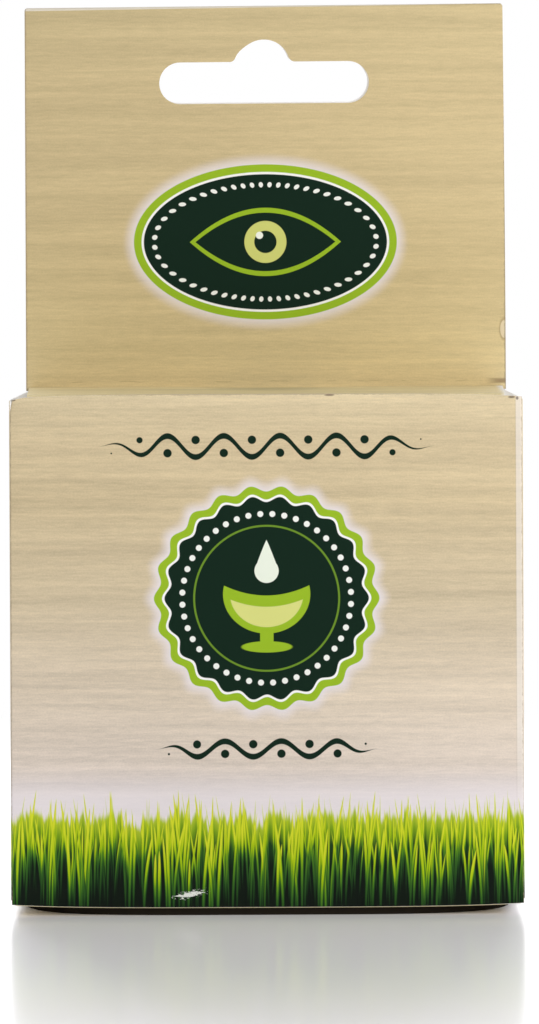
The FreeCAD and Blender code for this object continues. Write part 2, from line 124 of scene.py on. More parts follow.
class BoardSettings(bpy.types.PropertyGroup):
    """How the board is cut up, bent and worn."""

    cell: FloatProperty(
        name="Cell", description="Size of the faces that a panel is cut into so that it can bend",
        default=2.0 * MM, min=0.0005, unit="LENGTH")
    wave: FloatProperty(
        name="Wave", description="How far a panel's middle wanders inwards",
        default=0.14 * MM, min=0, unit="LENGTH")
    edge: FloatProperty(
        name="Edge", description="Softening of the board's cut edges",
        default=0.07 * MM, min=0, unit="LENGTH")
    corner_drop: FloatProperty(
        name="Corner drop", description="How far handling has pushed in the front wall's corners",
        default=0.45 * MM, min=0, unit="LENGTH")


class StageSettings(bpy.types.PropertyGroup):
    """Camera and lamps."""

    distance: FloatProperty(
        name="Distance", description="Camera in front of the carton's front wall",
        default=603 * MM, min=0.01, unit="LENGTH")
    height: FloatProperty(
        name="Height", description="Camera above the floor", default=89.5 * MM, unit="LENGTH")
    pixels_per_mm: FloatProperty(
        name="Scale", description="Pixels for each millimetre of the front wall", default=7.04, min=0.1)
    horizon: FloatProperty(
        name="Horizon", description="Horizon below the top of the frame, in pixels", default=278, min=0)
    roll: FloatProperty(
        name="Roll", description="Camera turned about its line of sight",
        default=math.radians(0.25), subtype="ANGLE")
    gap: FloatProperty(
        name="Gap", description="Floor below the carton's base, which rests on its unseen bulge",
        default=1.1 * MM, min=0, unit="LENGTH")
    sky: FloatProperty(
        name="Sky", description="Strength of the white light from all round", default=0.325, min=0)


# Node graphs


class Graph:
    """Adds nodes to a tree. Each method returns the new node's output socket."""

    def __init__(self, tree):
        self.tree = tree

    def node(self, kind, **settings):
        node = self.tree.nodes.new(kind)
        for name, setting in settings.items():
            setattr(node, name, setting)
        return node

    def feed(self, socket, source):
        if isinstance(source, bpy.types.NodeSocket):
            self.tree.links.new(source, socket)
        else:
            socket.default_value = source

    def math(self, operation, *sources):
        node = self.node("ShaderNodeMath", operation=operation)
        for socket, source in zip(node.inputs, sources):
            self.feed(socket, source)
        return node.outputs[0]

    def add(self, *sources):
        total = sources[0]
        for source in sources[1:]:
            total = self.math("ADD", total, source)
        return total

    def less(self, first, second):
        return self.math("SUBTRACT", first, second)

    def times(self, *sources):
        product = sources[0]
        for source in sources[1:]:
            product = self.math("MULTIPLY", product, source)
        return product

    def ramp_up(self, source, low, high):
        """0 under low, 1 over high and smooth between. Swapping them ramps down."""
        node = self.node("ShaderNodeMapRange", interpolation_type="SMOOTHSTEP")
        for socket, value in zip(node.inputs, (source, low, high, 0.0, 1.0)):
            self.feed(socket, value)
        return node.outputs[0]

    def inside(self, distance, soft=0.05):
        """1 where a distance in millimetres is negative, with a narrow printed edge."""
        return self.ramp_up(distance, soft, -soft)

    def any_of(self, *masks):
        return self.pick("MAXIMUM", masks)

    def all_of(self, *masks):
        return self.pick("MINIMUM", masks)

    def pick(self, operation, masks):
        chosen = masks[0]
        for mask in masks[1:]:
            chosen = self.math(operation, chosen, mask)
        return chosen

    def length(self, x, y):
        return self.math("SQRT", self.add(self.times(x, x), self.times(y, y)))

    def blend(self, share, first, second):
        node = self.node("ShaderNodeMix", data_type="RGBA")
        for index, source in ((0, share), (6, first), (7, second)):
            self.feed(node.inputs[index], source)
        return node.outputs[2]

    def colours(self, source, stops):
        """A colour that runs through (position, colour) stops."""
        node = self.node("ShaderNodeValToRGB")
        ramp = node.color_ramp
        while len(ramp.elements) < len(stops):
            ramp.elements.new(1.0)
        for element, (position, colour) in zip(ramp.elements, stops):
            element.position = position
            element.color = colour
        self.feed(node.inputs[0], source)
        return node.outputs[0]

    def grain(self, x, y, z, detail=3.0, roughness=0.55):
        """Noise from 0 to 1 over a point whose parts are already scaled."""
        point = self.node("ShaderNodeCombineXYZ")
        for socket, source in zip(point.inputs, (x, y, z)):
            self.feed(socket, source)
        node = self.node("ShaderNodeTexNoise")
        self.feed(node.inputs["Vector"], point.outputs[0])
        for name, value in (("Scale", 1.0), ("Detail", detail), ("Roughness", roughness)):
            node.inputs[name].default_value = value
        return node.outputs[0]

    def chance(self, number):
        """Three random numbers from 0 to 1 for each whole number."""
        node = self.node("ShaderNodeTexWhiteNoise", noise_dimensions="1D")
        self.feed(node.inputs["W"], number)
        split = self.node("ShaderNodeSeparateColor")
        self.feed(split.inputs[0], node.outputs["Color"])
        return split.outputs[0], split.outputs[1], split.outputs[2]

    def place_mm(self):
        """The object's own coordinates in millimetres, as three numbers."""
        source = self.node("ShaderNodeTexCoord")
        scaled = self.node("ShaderNodeVectorMath", operation="SCALE")
        self.feed(scaled.inputs[0], source.outputs["Object"])
        scaled.inputs["Scale"].default_value = 1 / MM
        split = self.node("ShaderNodeSeparateXYZ")
        self.feed(split.inputs[0], scaled.outputs[0])
        return split.outputs[0], split.outputs[1], split.outputs[2]


def finish(name, colour_of, roughness, bump=None, bump_height=0.01 * MM, **shader_values):
    """A Principled material. colour_of draws its colour in a graph, and bump the height of its relief."""
    material = bpy.data.materials.new(name)
    material.use_nodes = True
    graph = Graph(material.node_tree)
    shader = next(node for node in graph.tree.nodes if node.type == "BSDF_PRINCIPLED")
    shader.inputs["Roughness"].default_value = roughness
    for socket, value in shader_values.items():
        shader.inputs[socket.replace("_", " ")].default_value = value
    graph.feed(shader.inputs["Base Color"], colour_of(graph))
    if bump:
        relief = graph.node("ShaderNodeBump")
        relief.inputs["Distance"].default_value = bump_height
        graph.feed(relief.inputs["Height"], bump(graph))
        graph.feed(shader.inputs["Normal"], relief.outputs[0])
    return material


# What is printed


def wood(graph, along, height, stops, strength, tilt=0.0):
    """Wood print with level grain: a colour that changes with height under fine streaks.

    tilt is painted light: it makes it lighter towards the right, by that share for each millimetre, as a
    lamp on the right would.
    """
    wander = graph.times(graph.grain(graph.times(along, 0.04), 3.0, graph.times(height, 0.2)), 0.9)
    level = graph.add(height, wander)
    bands = graph.grain(graph.times(along, 0.011), 7.0, graph.times(level, 0.46), 2.0, 0.6)
    streaks = graph.grain(graph.times(along, 0.06), 5.0, graph.times(level, 1.3), 3.0, 0.6)
    fine = graph.grain(graph.times(along, 0.4), 0.0, graph.times(level, 3.2), 3.0, 0.65)
    screen_dots = graph.grain(graph.times(along, 3.6), 11.0, graph.times(height, 4.6), 2.0, 0.7)
    base = graph.colours(graph.times(height, 1 / HEADER_TOP), stops)
    # Painted light: the tilt term lightens the print towards the right.
    shade = graph.add(graph.times(graph.less(bands, 0.5), strength * 2.6),
                      graph.times(graph.less(streaks, 0.5), strength * 2.2),
                      graph.times(graph.less(fine, 0.5), strength * 2.4),
                      graph.times(graph.less(screen_dots, 0.5), strength * 2.0),
                      graph.times(along, tilt), 1.0)
    tinted = graph.node("ShaderNodeVectorMath", operation="SCALE")
    graph.feed(tinted.inputs[0], base)
    graph.feed(tinted.inputs["Scale"], shade)
    return tinted.outputs[0]


def wall_stops():
    return [(height / HEADER_TOP, colour) for height, colour in (
        (0, screen(226, 219, 220)), (19, screen(217, 204, 191)), (30, screen(217, 202, 180)),
        (44, screen(203, 187, 156)), (58, screen(204, 186, 149)), (66, screen(207, 189, 152)),
        (WALL_TOP, screen(213, 196, 159)))]


def header_stops():
    return [(height / HEADER_TOP, colour) for height, colour in (
        (WALL_TOP, screen(220, 200, 152)), (79, screen(212, 193, 145)), (90, screen(203, 184, 138)),
        (104, screen(203, 184, 140)), (120, screen(203, 184, 140)), (HEADER_TOP, screen(200, 182, 138)))]


def rings(graph, gap):
    """Masks of a seal from the distance inside its rim, in millimetres: glow, lime, white, disc."""
    return (graph.ramp_up(gap, -2.0, 0.3), graph.inside(graph.less(0.0, gap)),
            graph.inside(graph.less(1.15, gap)), graph.inside(graph.less(1.5, gap)))


def beads(graph, turn, gap, count, depth, size, spacing):
    """A row of round beads at one depth inside a rim."""
    step = graph.times(turn, count)
    across = graph.times(graph.less(graph.math("FRACT", step), 0.5), spacing)
    return graph.inside(graph.less(graph.length(across, graph.less(gap, depth)), size))


def turn_of(graph, x, z):
    return graph.add(graph.times(graph.math("ARCTAN2", z, x), 0.5 / math.pi), 0.5)


def stamp(graph, under, masks_and_inks):
    """Print inks over one another, each through its own mask."""
    for mask, ink in masks_and_inks:
        under = graph.blend(mask, under, ink)
    return under


def cup_seal(graph, under, x, z, inks):
    """A scalloped seal with a beaded border round a cup and a falling drop."""
    turn = turn_of(graph, x, z)
    scallop = graph.times(graph.math("COSINE", graph.times(turn, math.tau * CUP_SEAL_LOBES)), 0.42)
    gap = graph.less(graph.add(CUP_SEAL_RADIUS, scallop), graph.length(x, z))
    glow, lime, white, disc = rings(graph, gap)
    plain_gap = graph.less(CUP_SEAL_RADIUS, graph.length(x, z))
    dots = beads(graph, turn, plain_gap, count=2 * CUP_SEAL_LOBES, depth=3.6, size=0.42, spacing=1.7)
    line = graph.inside(graph.less(graph.math("ABSOLUTE", graph.less(plain_gap, 5.3)), 0.14))
    bowl_x, bowl_z = graph.times(x, 1 / 6.2), graph.times(graph.less(z, 0.6), 1 / 5.6)
    bowl_round = graph.times(graph.less(graph.length(bowl_x, bowl_z), 1.0), 5.6)
    rim = graph.less(z, graph.add(0.4, graph.times(bowl_x, bowl_x, 1.5)))
    bowl = graph.all_of(graph.inside(bowl_round), graph.inside(rim))
    wash = graph.all_of(graph.inside(graph.add(bowl_round, 0.9)), graph.inside(graph.add(rim, 1.6)))
    stem = graph.all_of(graph.inside(graph.less(graph.math("ABSOLUTE", x), 0.95)),
                        graph.inside(graph.less(graph.math("ABSOLUTE", graph.add(z, 5.6)), 1.1)))
    foot_x, foot_z = graph.times(x, 1 / 3.6), graph.times(graph.add(z, 6.9), 1 / 0.8)
    foot = graph.inside(graph.times(graph.less(graph.length(foot_x, foot_z), 1.0), 0.8))
    rise = graph.times(graph.less(z, 4.0), 1 / 4.4)
    tip = graph.math("POWER", graph.math("MAXIMUM", graph.less(1.0, rise), 0.0), 0.9)
    drop_half = graph.less(graph.times(tip, 1.76), 0.06)
    cone = graph.all_of(graph.inside(graph.less(graph.math("ABSOLUTE", x), drop_half)),
                        graph.inside(graph.less(0.0, rise)))
    ball = graph.inside(graph.less(graph.length(x, graph.less(z, 3.9)), 1.72))
    return stamp(graph, under, (
        (graph.times(glow, 0.85), inks.haze), (lime, inks.pale_green), (white, screen(245, 244, 240)),
        (disc, inks.deep_green), (dots, screen(238, 240, 232)), (line, screen(104, 140, 40)),
        (graph.any_of(bowl, stem, foot), inks.pale_green), (wash, screen(214, 216, 128)),
        (graph.any_of(cone, ball), screen(233, 240, 222))))


def eye_medallion(graph, under, x, z, inks):
    """A lying oval medallion with a line drawing of an open eye."""
    half_x, half_z = MEDALLION_HALF_WIDTH, MEDALLION_HALF_HEIGHT
    level_x, level_z = graph.times(x, 1 / half_x), graph.times(z, 1 / half_z)
    reach = graph.length(level_x, level_z)
    slope = graph.length(graph.times(level_x, 1 / half_x), graph.times(level_z, 1 / half_z))
    gap = graph.math("DIVIDE", graph.times(graph.less(1.0, reach), reach), slope)
    glow, lime, white, disc = rings(graph, gap)
    turn = graph.times(graph.add(turn_of(graph, level_x, level_z), turn_of(graph, x, z)), 0.5)
    dots = beads(graph, turn, gap, count=52, depth=3.1, size=0.40, spacing=1.62)
    bow = graph.less(1.0, graph.math("POWER", graph.times(x, 1 / 11.5), 2.0))
    lid = graph.less(graph.math("ABSOLUTE", z), graph.times(bow, 5.2))
    almond = graph.inside(lid)
    white_of_eye = graph.inside(graph.add(lid, 0.75))
    iris = graph.inside(graph.less(graph.length(x, z), 3.2))
    inner = graph.inside(graph.less(graph.length(x, z), 1.7))
    glint = graph.inside(graph.less(graph.length(graph.add(x, 0.9), graph.less(z, 1.0)), 0.55))
    return stamp(graph, under, (
        (graph.times(glow, 0.8), inks.haze), (lime, inks.pale_green), (white, screen(245, 244, 240)),
        (disc, inks.deep_green), (dots, screen(238, 240, 232)), (almond, inks.pale_green),
        (white_of_eye, inks.deep_green), (iris, screen(206, 210, 118)), (inner, inks.deep_green),
        (glint, screen(240, 243, 230))))


def ripple_line(graph, under, x, z, half_length, swing, inks):
    """A thin rippling line with a drop in each hollow, fading out at its two ends."""
    wavelength = 8.0
    fade = graph.ramp_up(graph.math("ABSOLUTE", x), half_length, half_length * 0.55)
    crest = graph.times(graph.math("SINE", graph.times(x, math.tau / wavelength)), graph.times(fade, swing))
    width = graph.less(graph.times(fade, 0.48), 0.06)
    stroke = graph.inside(graph.less(graph.math("ABSOLUTE", graph.less(z, crest)), width))
    from_drop = graph.less(graph.math("FRACT", graph.times(x, 2 / wavelength)), 0.5)
    side = graph.math("SIGN", graph.math("SINE", graph.times(x, math.tau / wavelength)))
    drop_height = graph.add(z, graph.times(side, swing * 0.62))
    drop = graph.inside(graph.less(graph.length(graph.times(from_drop, wavelength / 2), drop_height),
                                   graph.less(graph.times(fade, 0.66), 0.06)))
    return stamp(graph, under, ((stroke, inks.deep_green), (drop, inks.deep_green)))


def blade_row_group():
    """One printed row of grass: where a blade is, and how light it is there."""
    group = bpy.data.node_groups.new("blade_row", "ShaderNodeTree")
    for name in ("Along", "Height", "Spacing", "Slant", "Row", "Tall", "Spread", "Width", "Clump"):
        group.interface.new_socket(name, in_out="INPUT", socket_type="NodeSocketFloat")
    for name in ("Blade", "Light"):
        group.interface.new_socket(name, in_out="OUTPUT", socket_type="NodeSocketFloat")
    graph = Graph(group)
    given = graph.node("NodeGroupInput").outputs
    slide = graph.times(given["Slant"], graph.math("POWER", given["Height"], 1.6))
    step = graph.math("DIVIDE", graph.add(given["Along"], slide, graph.times(given["Row"], 7.31)),
                      given["Spacing"])
    cell = graph.math("FLOOR", step)
    first, second, third = graph.chance(graph.add(cell, graph.times(given["Row"], 61.7)))
    tip = graph.add(given["Tall"], graph.times(graph.less(first, 0.65), given["Spread"]), given["Clump"])
    climb = graph.math("DIVIDE", given["Height"], tip)
    lean = graph.times(graph.less(second, 0.5), graph.math("POWER", climb, 2.0), 0.62)
    across = graph.less(graph.less(graph.math("FRACT", step), 0.5), lean)
    taper = graph.math("POWER", graph.math("MAXIMUM", graph.less(1.0, climb), 0.0), 0.38)
    half = graph.less(graph.times(given["Width"], graph.add(0.7, graph.times(third, 0.8)), taper), 0.035)
    reach = graph.less(graph.math("ABSOLUTE", across), half)
    result = graph.node("NodeGroupOutput").inputs
    graph.feed(result["Blade"], graph.ramp_up(reach, 0.035, -0.035))
    ridge = graph.ramp_up(graph.math("ABSOLUTE", graph.add(across, 0.03)), 0.17, 0.02)
    graph.feed(result["Light"], graph.add(graph.times(climb, 0.8), graph.times(third, 0.34),
                                          graph.times(ridge, 0.34), -0.34))
    return group


def grass(graph, under, along, height, settings):
    """A band of grass along the foot of the wall, dark between its blades."""
    rows = bpy.data.node_groups.get("blade_row") or blade_row_group()
    top = settings.grass_height
    ragged = graph.grain(graph.times(along, 1.5), 2.0, 0.0, 2.0, 0.6)
    clump = graph.times(graph.less(graph.grain(graph.times(along, 0.19), 9.0, 0.0, 2.0, 0.6), 0.5), 9.0)
    ground_line = graph.less(graph.add(height, graph.times(graph.less(ragged, 0.5), 6.0)), clump)
    deep = graph.colours(graph.times(ground_line, 1 / top), [
        (0.0, screen(4, 11, 6)), (0.34, screen(8, 22, 10)), (0.52, screen(26, 62, 22)),
        (0.66, screen(116, 154, 24)), (0.8, screen(184, 200, 50))])
    under = graph.blend(graph.ramp_up(ground_line, top * 0.84, top * 0.76), under, deep)
    patch = graph.grain(graph.times(along, 0.2), 5.0, 0.0, 2.0, 0.5)
    hollow = graph.times(graph.ramp_up(patch, 0.42, 0.58), graph.ramp_up(height, top * 0.7, top * 0.36))
    for row in range(settings.grass_layers):
        share = row / max(settings.grass_layers - 1, 1)
        node = graph.node("ShaderNodeGroup", node_tree=rows)
        for name, source in (("Along", along), ("Height", height), ("Spacing", 1.5 + 0.6 * share),
                             ("Slant", 0.018 * math.sin(row * 2.4)), ("Row", float(row + 1)),
                             ("Tall", top * (0.93 - 0.14 * share)), ("Spread", top * (0.26 + 0.3 * share)),
                             ("Width", 0.175 - 0.035 * share), ("Clump", clump)):
            graph.feed(node.inputs[name], source)
        light = graph.less(node.outputs["Light"], graph.times(hollow, 0.5 - 0.38 * share))
        ink = graph.colours(light, [
            (0.0, screen(7, 19, 8)), (0.13, screen(24, 56, 22)), (0.3, screen(50, 96, 30)),
            (0.44, screen(92, 142, 24)), (0.58, screen(166, 194, 10)), (0.85, screen(210, 216, 44))])
        under = graph.blend(node.outputs["Blade"], under, ink)
    return under


def worn(graph, under, along, height, half_width, low, high):
    """Ink rubbed off the corners, down to white board, and painted shade along the folds."""
    to_side = graph.less(half_width, graph.math("ABSOLUTE", along))
    to_end = graph.math("MINIMUM", graph.less(height, low), graph.less(high, height))
    edge = graph.math("MINIMUM", to_side, to_end)
    corner = graph.length(to_side, to_end)
    rub = graph.grain(graph.times(along, 0.9), 9.0, graph.times(height, 0.9), 5.0, 0.7)
    fold_shade = graph.ramp_up(graph.add(edge, graph.times(graph.less(rub, 0.5), 0.5)), 0.14, 0.04)
    corner_rub = graph.ramp_up(graph.add(corner, graph.times(graph.less(rub, 0.5), 1.4)), 0.6, 0.3)
    # Painted shade: a dark brown rim along the folds, broken by the rub noise.
    under = graph.blend(graph.times(fold_shade, 0.6), under, screen(150, 134, 112))
    return graph.blend(graph.times(corner_rub, 0.8), under, screen(226, 220, 222))


def misted(graph, under, height, inks):
    """The pale haze from which the grass grows."""
    haze = graph.ramp_up(height, HAZE_TOP, HAZE_FULL)
    return graph.blend(graph.times(haze, HAZE_SHARE), under, inks.haze)


def scuffed(graph, under, x, z):
    """A ragged white scuff near the foot of the front."""
    from_x, from_z = graph.less(x, SCUFF_X), graph.less(z, SCUFF_HEIGHT)
    tilt = graph.less(from_z, graph.times(from_x, 0.2))
    ragged = graph.grain(graph.times(x, 1.3), 4.0, graph.times(z, 4.2), 5.0, 0.75)
    reach = graph.length(graph.times(from_x, 0.36), graph.times(tilt, 1.5))
    reach = graph.add(reach, graph.times(graph.less(ragged, 0.5), 3.6))
    return graph.blend(graph.ramp_up(reach, 0.62, 0.5), under, screen(232, 232, 226))


def gap_shadows(graph, under, x, z):
    """Painted shadows: small dark spots along the front's upper crease, where the lid's edge leaves gaps."""
    for gap_x, gap_z, half_x, half_z in ((34.9, 72.45, 0.5, 0.16), (35.7, 72.3, 0.2, 0.25),
                                           (9.0, 72.85, 0.75, 0.14), (-35.9, 72.3, 0.35, 0.15)):
        reach = graph.length(graph.times(graph.less(x, gap_x), 1 / half_x),
                             graph.times(graph.less(z, gap_z), 1 / half_z))
        # Painted shadow of one gap at the lid's edge.
        gap_shadow = graph.times(graph.ramp_up(reach, 1.3, 0.6), 0.7)
        under = graph.blend(gap_shadow, under, screen(66, 48, 42))
    return under


def front_print(graph):
    """The front wall: wood, haze, seal, ripple lines, grass and wear, with a painted highlight and painted
    shade along the right fold and painted shadows at the lid's edge.
    """
    inks = bpy.context.scene.carton_print
    x, _, z = graph.place_mm()
    # The last value paints light: lighter towards the right.
    colour = wood(graph, x, z, wall_stops(), inks.grain_strength * 1.2, 0.0008)
    colour = ripple_line(graph, colour, x, graph.less(z, UPPER_RIPPLE_HEIGHT), 26.0, 1.5, inks)
    colour = cup_seal(graph, colour, x, graph.less(z, CUP_SEAL_HEIGHT), inks)
    colour = misted(graph, colour, z, inks)
    colour = ripple_line(graph, colour, x, graph.less(z, LOWER_RIPPLE_HEIGHT), 17.0, 1.1, inks)
    colour = grass(graph, colour, x, z, inks)
    # Painted highlight: a pale strip along the right fold, from above the grass up, where the rounded fold
    # catches the light.
    fold_highlight = graph.times(graph.ramp_up(x, HALF_WIDTH - 1.0, HALF_WIDTH - 0.8), graph.ramp_up(z, 13.0, 26.0))
    colour = graph.blend(graph.times(fold_highlight, 0.55), colour, screen(240, 234, 226))
    # Painted shade: a thin dark line along the right fold.
    crease = graph.inside(graph.less(graph.math("ABSOLUTE", graph.less(x, HALF_WIDTH - 0.95)), 0.03))
    colour = graph.blend(graph.times(crease, 0.2), colour, screen(120, 108, 92))
    colour = scuffed(graph, colour, x, z)
    # Painted shadows of the gaps at the lid's front edge.
    colour = gap_shadows(graph, colour, x, z)
    return worn(graph, colour, x, z, HALF_WIDTH, 0.0, WALL_TOP)


def header_print(graph):
    """The header's front: darker wood and the oval medallion, with a painted highlight along the top fold,
    painted shade in the crease at its foot, a painted shadow under the lifted corner and a painted curl at
    the right edge.
    """
    inks = bpy.context.scene.carton_print
    x, _, z = graph.place_mm()
    # The last value paints light: lighter towards the right.
    colour = wood(graph, x, z, header_stops(), inks.grain_strength, 0.0014)
    colour = eye_medallion(graph, colour, x, graph.less(z, MEDALLION_HEIGHT), inks)
    # Painted highlight along the header's top fold, partly the pale board of its cracked coating: a pale
    # strip, deepest at the left.
    across = graph.times(graph.add(x, HALF_WIDTH), 0.5 / HALF_WIDTH)
    top = graph.less(HEADER_TOP, graph.times(graph.less(1.0, across), HEADER_DROP))
    from_top = graph.less(top, z)
    top_highlight_depth = graph.times(graph.less(1.15, across), 0.42)
    pale = graph.ramp_up(graph.less(top_highlight_depth, from_top), -0.06, 0.06)
    colour = graph.blend(graph.times(pale, 0.75), colour, screen(234, 228, 216))
    # Painted shade: a thin, broken dark line in the crease at the header's foot.
    crease_shade_line = graph.add(WALL_TOP + 0.45, graph.times(graph.grain(graph.times(x, 0.4), 1.0, 0.0), 0.7))
    shade_breaks = graph.ramp_up(graph.grain(graph.times(x, 0.22), 8.0, 0.0), 0.48, 0.6)
    crease_shade = graph.inside(graph.less(graph.math("ABSOLUTE", graph.less(z, crease_shade_line)), 0.04))
    colour = graph.blend(graph.times(crease_shade, shade_breaks, 0.45), colour, screen(136, 114, 78))
    # Painted shadow under the lifted lower right corner of the ply.
    lifted_corner_shadow = graph.all_of(graph.ramp_up(x, HALF_WIDTH - 3.4, HALF_WIDTH - 0.6),
                          graph.ramp_up(graph.math("ABSOLUTE", graph.less(z, WALL_TOP + 0.75)), 0.55, 0.15))
    colour = graph.blend(graph.times(lifted_corner_shadow, 0.7), colour, screen(128, 104, 76))
    # Painted shadow and highlight of a curled ply edge: a brown rim round a lighter face.
    curl_shading = graph.length(graph.times(graph.less(x, HALF_WIDTH - 0.1), 1.1),
                        graph.times(graph.less(z, CURL_HEIGHT), 0.5))
    colour = graph.blend(graph.times(graph.ramp_up(curl_shading, 1.0, 0.75), 0.5), colour, screen(150, 124, 84))
    colour = graph.blend(graph.ramp_up(curl_shading, 0.75, 0.6), colour, screen(226, 210, 174))
    return worn(graph, colour, x, z, HALF_WIDTH, 0.0, HEADER_TOP)


def side_print(along_axis):
    """A wall with no seal: wood, haze and grass run round it from the front."""
    def draw(graph):
        inks = bpy.context.scene.carton_print
        place = graph.place_mm()
        along, z = place[along_axis], place[2]
        along = graph.add(along, 180.0 * (along_axis + 1))
        colour = wood(graph, along, z, wall_stops(), inks.grain_strength)
        return grass(graph, misted(graph, colour, z, inks), along, z, inks)
    return draw


def back_print(graph):
    """The back wall and the header behind it."""
    inks = bpy.context.scene.carton_print
    x, _, z = graph.place_mm()
    along = graph.add(x, 730.0)
    low = wood(graph, along, z, wall_stops(), inks.grain_strength)
    low = grass(graph, misted(graph, low, z, inks), along, z, inks)
    high = wood(graph, along, z, header_stops(), inks.grain_strength)
    colour = graph.blend(graph.ramp_up(z, WALL_TOP - 0.3, WALL_TOP + 0.3), low, high)
    return worn(graph, colour, x, z, HALF_WIDTH, 0.0, HEADER_TOP)


def lid_print(graph):
    """A lid lies level, so its grain runs across it at one shade. A painted shade lies near the crease and a
    painted highlight at the right end.
    """
    inks = bpy.context.scene.carton_print
    x, y, _ = graph.place_mm()
    level = graph.add(WALL_TOP - 24.0, graph.times(y, 0.25))
    ground = screen(234, 217, 170)
    colour = wood(graph, x, level, [(0.0, ground), (1.0, ground)], inks.grain_strength)
    # Painted shade: a soft dark patch where the lid sags by the header's crease.
    sag_shade = graph.length(graph.times(graph.add(x, -0.5), 1 / 12.0),
                         graph.times(graph.less(y, 20.0), 1 / 26.0))
    colour = graph.blend(graph.times(graph.ramp_up(sag_shade, 1.0, 0.3), 0.3), colour, screen(112, 108, 74))
    # Painted highlight: the lid's right end fades to near white, for glare off its coating.
    rub = graph.grain(graph.times(x, 0.9), graph.times(y, 0.9), 2.0, 5.0, 0.7)
    glare_from_right = graph.add(graph.less(HALF_WIDTH - 0.5, x), graph.times(graph.less(rub, 0.5), 1.2),
                           graph.times(graph.add(y, HALF_DEPTH), 0.03))
    return graph.blend(graph.times(graph.ramp_up(glare_from_right, 2.6, 1.5), 0.95), colour, screen(250, 248, 244))


def board_fibre(graph):
    """Height of the board's pulp fibres and of the paper's slow cockle."""
    x, y, z = graph.place_mm()
    fibre = graph.grain(graph.times(x, 3.1), graph.times(y, 3.1), graph.times(z, 3.1), 5.0, 0.7)
    cockle = graph.grain(graph.times(x, 0.12), graph.times(y, 0.12), graph.times(z, 0.12), 1.0, 0.4)
    return graph.add(graph.times(fibre, 0.35), graph.times(cockle, 2.0))


def bare_board(light, dark):
    """Uncoated board: pale pulp with darker flecks and fibres."""
    def draw(graph):
        x, y, z = graph.place_mm()
        cloud = graph.grain(graph.times(x, 0.35), graph.times(y, 0.35), graph.times(z, 0.35), 4.0, 0.6)
        fleck = graph.grain(graph.times(x, 4.0), graph.times(y, 4.0), graph.times(z, 4.0), 3.0, 0.75)
        share = graph.add(graph.times(graph.ramp_up(cloud, 0.3, 0.75), 0.45),
                          graph.times(graph.ramp_up(fleck, 0.6, 0.78), 0.55))
        return graph.blend(share, light, dark)
    return draw


def make_materials():
    """Every board material by its name. Printed sides are smoother than bare ones."""
    printed = {"roughness": 0.5, "bump": board_fibre, "bump_height": 0.006 * MM, "Specular_IOR_Level": 0.1}
    plain = {"roughness": 0.85, "bump": board_fibre, "bump_height": 0.02 * MM, "Specular_IOR_Level": 0.25}
    white = bare_board(screen(244, 241, 236), screen(228, 223, 215))
    grey = bare_board(screen(226, 216, 198), screen(196, 180, 154))
    return {
        "front_wall_print": finish("front_wall_print", front_print, **printed),
        "header_print": finish("header_print", header_print, **printed),
        "back_wall_print": finish("back_wall_print", back_print, **printed),
        "side_wall_print": finish("side_wall_print", side_print(1), **printed),
        "tuck_print": finish("tuck_print", side_print(0), **printed),
        "lid_print": finish("lid_print", lid_print, **printed),
        "white_board": finish("white_board", white, **plain),
        "cradle_board": finish("cradle_board", grey, **plain),
    }


def material(name):
    return bpy.data.materials.get(name) or make_materials()[name]


# Board pieces


def smooth_share(value, low, high):
    share = min(max((value - low) / (high - low), 0.0), 1.0)
    return share * share * (3 - 2 * share)


def wave_of(node, outward, depth):
    """A slow wander of a panel's middle, inwards only, that dies out at its edges."""
    low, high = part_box(node)
    reach = CALM_RIM * MM

    def move(point):
        calm = 1.0
        for axis in range(3):
            if high[axis] - low[axis] > 2 * reach:
                calm *= smooth_share(point[axis] - low[axis], 0, reach)
                calm *= smooth_share(high[axis] - point[axis], 0, reach)
        wander = noise.noise(point * 45 + Vector((len(node), 3.7, 1.3))) * 0.5 + 0.5
        return -outward * (depth * calm * wander)
    return move


def cut_cells(shape, low, high, cell):
    """Cut a flat mesh into cells, so that it can bend."""
    for axis in range(3):
        span = high[axis] - low[axis]
        normal = Vector((0, 0, 0))
        normal[axis] = 1
        count = int(span / cell) if span > 3 * cell else 0
        for number in range(1, count):
            at = low.copy()
            at[axis] += span * number / count
            geometry = shape.verts[:] + shape.edges[:] + shape.faces[:]
            bmesh.ops.bisect_plane(shape, geom=geometry, dist=0.002 * MM, plane_co=at, plane_no=normal)


def settle(point):
    """The loaded base bulges, so the front's two lower corners stand clear of the floor."""
    inset = min(HALF_WIDTH - abs(point.x) / MM, HALF_DEPTH - abs(point.y) / MM)
    lift = BASE_LIFT * min(abs(point.x) / MM / HALF_WIDTH, 1.0) ** 4
    near_rim = smooth_share(inset, BASE_REACH, 0) * smooth_share(point.z / MM, BASE_REACH, 0)
    near_front = smooth_share(point.y / MM, 4, -10)
    return Vector((0, 0, lift * near_rim * near_front * MM))


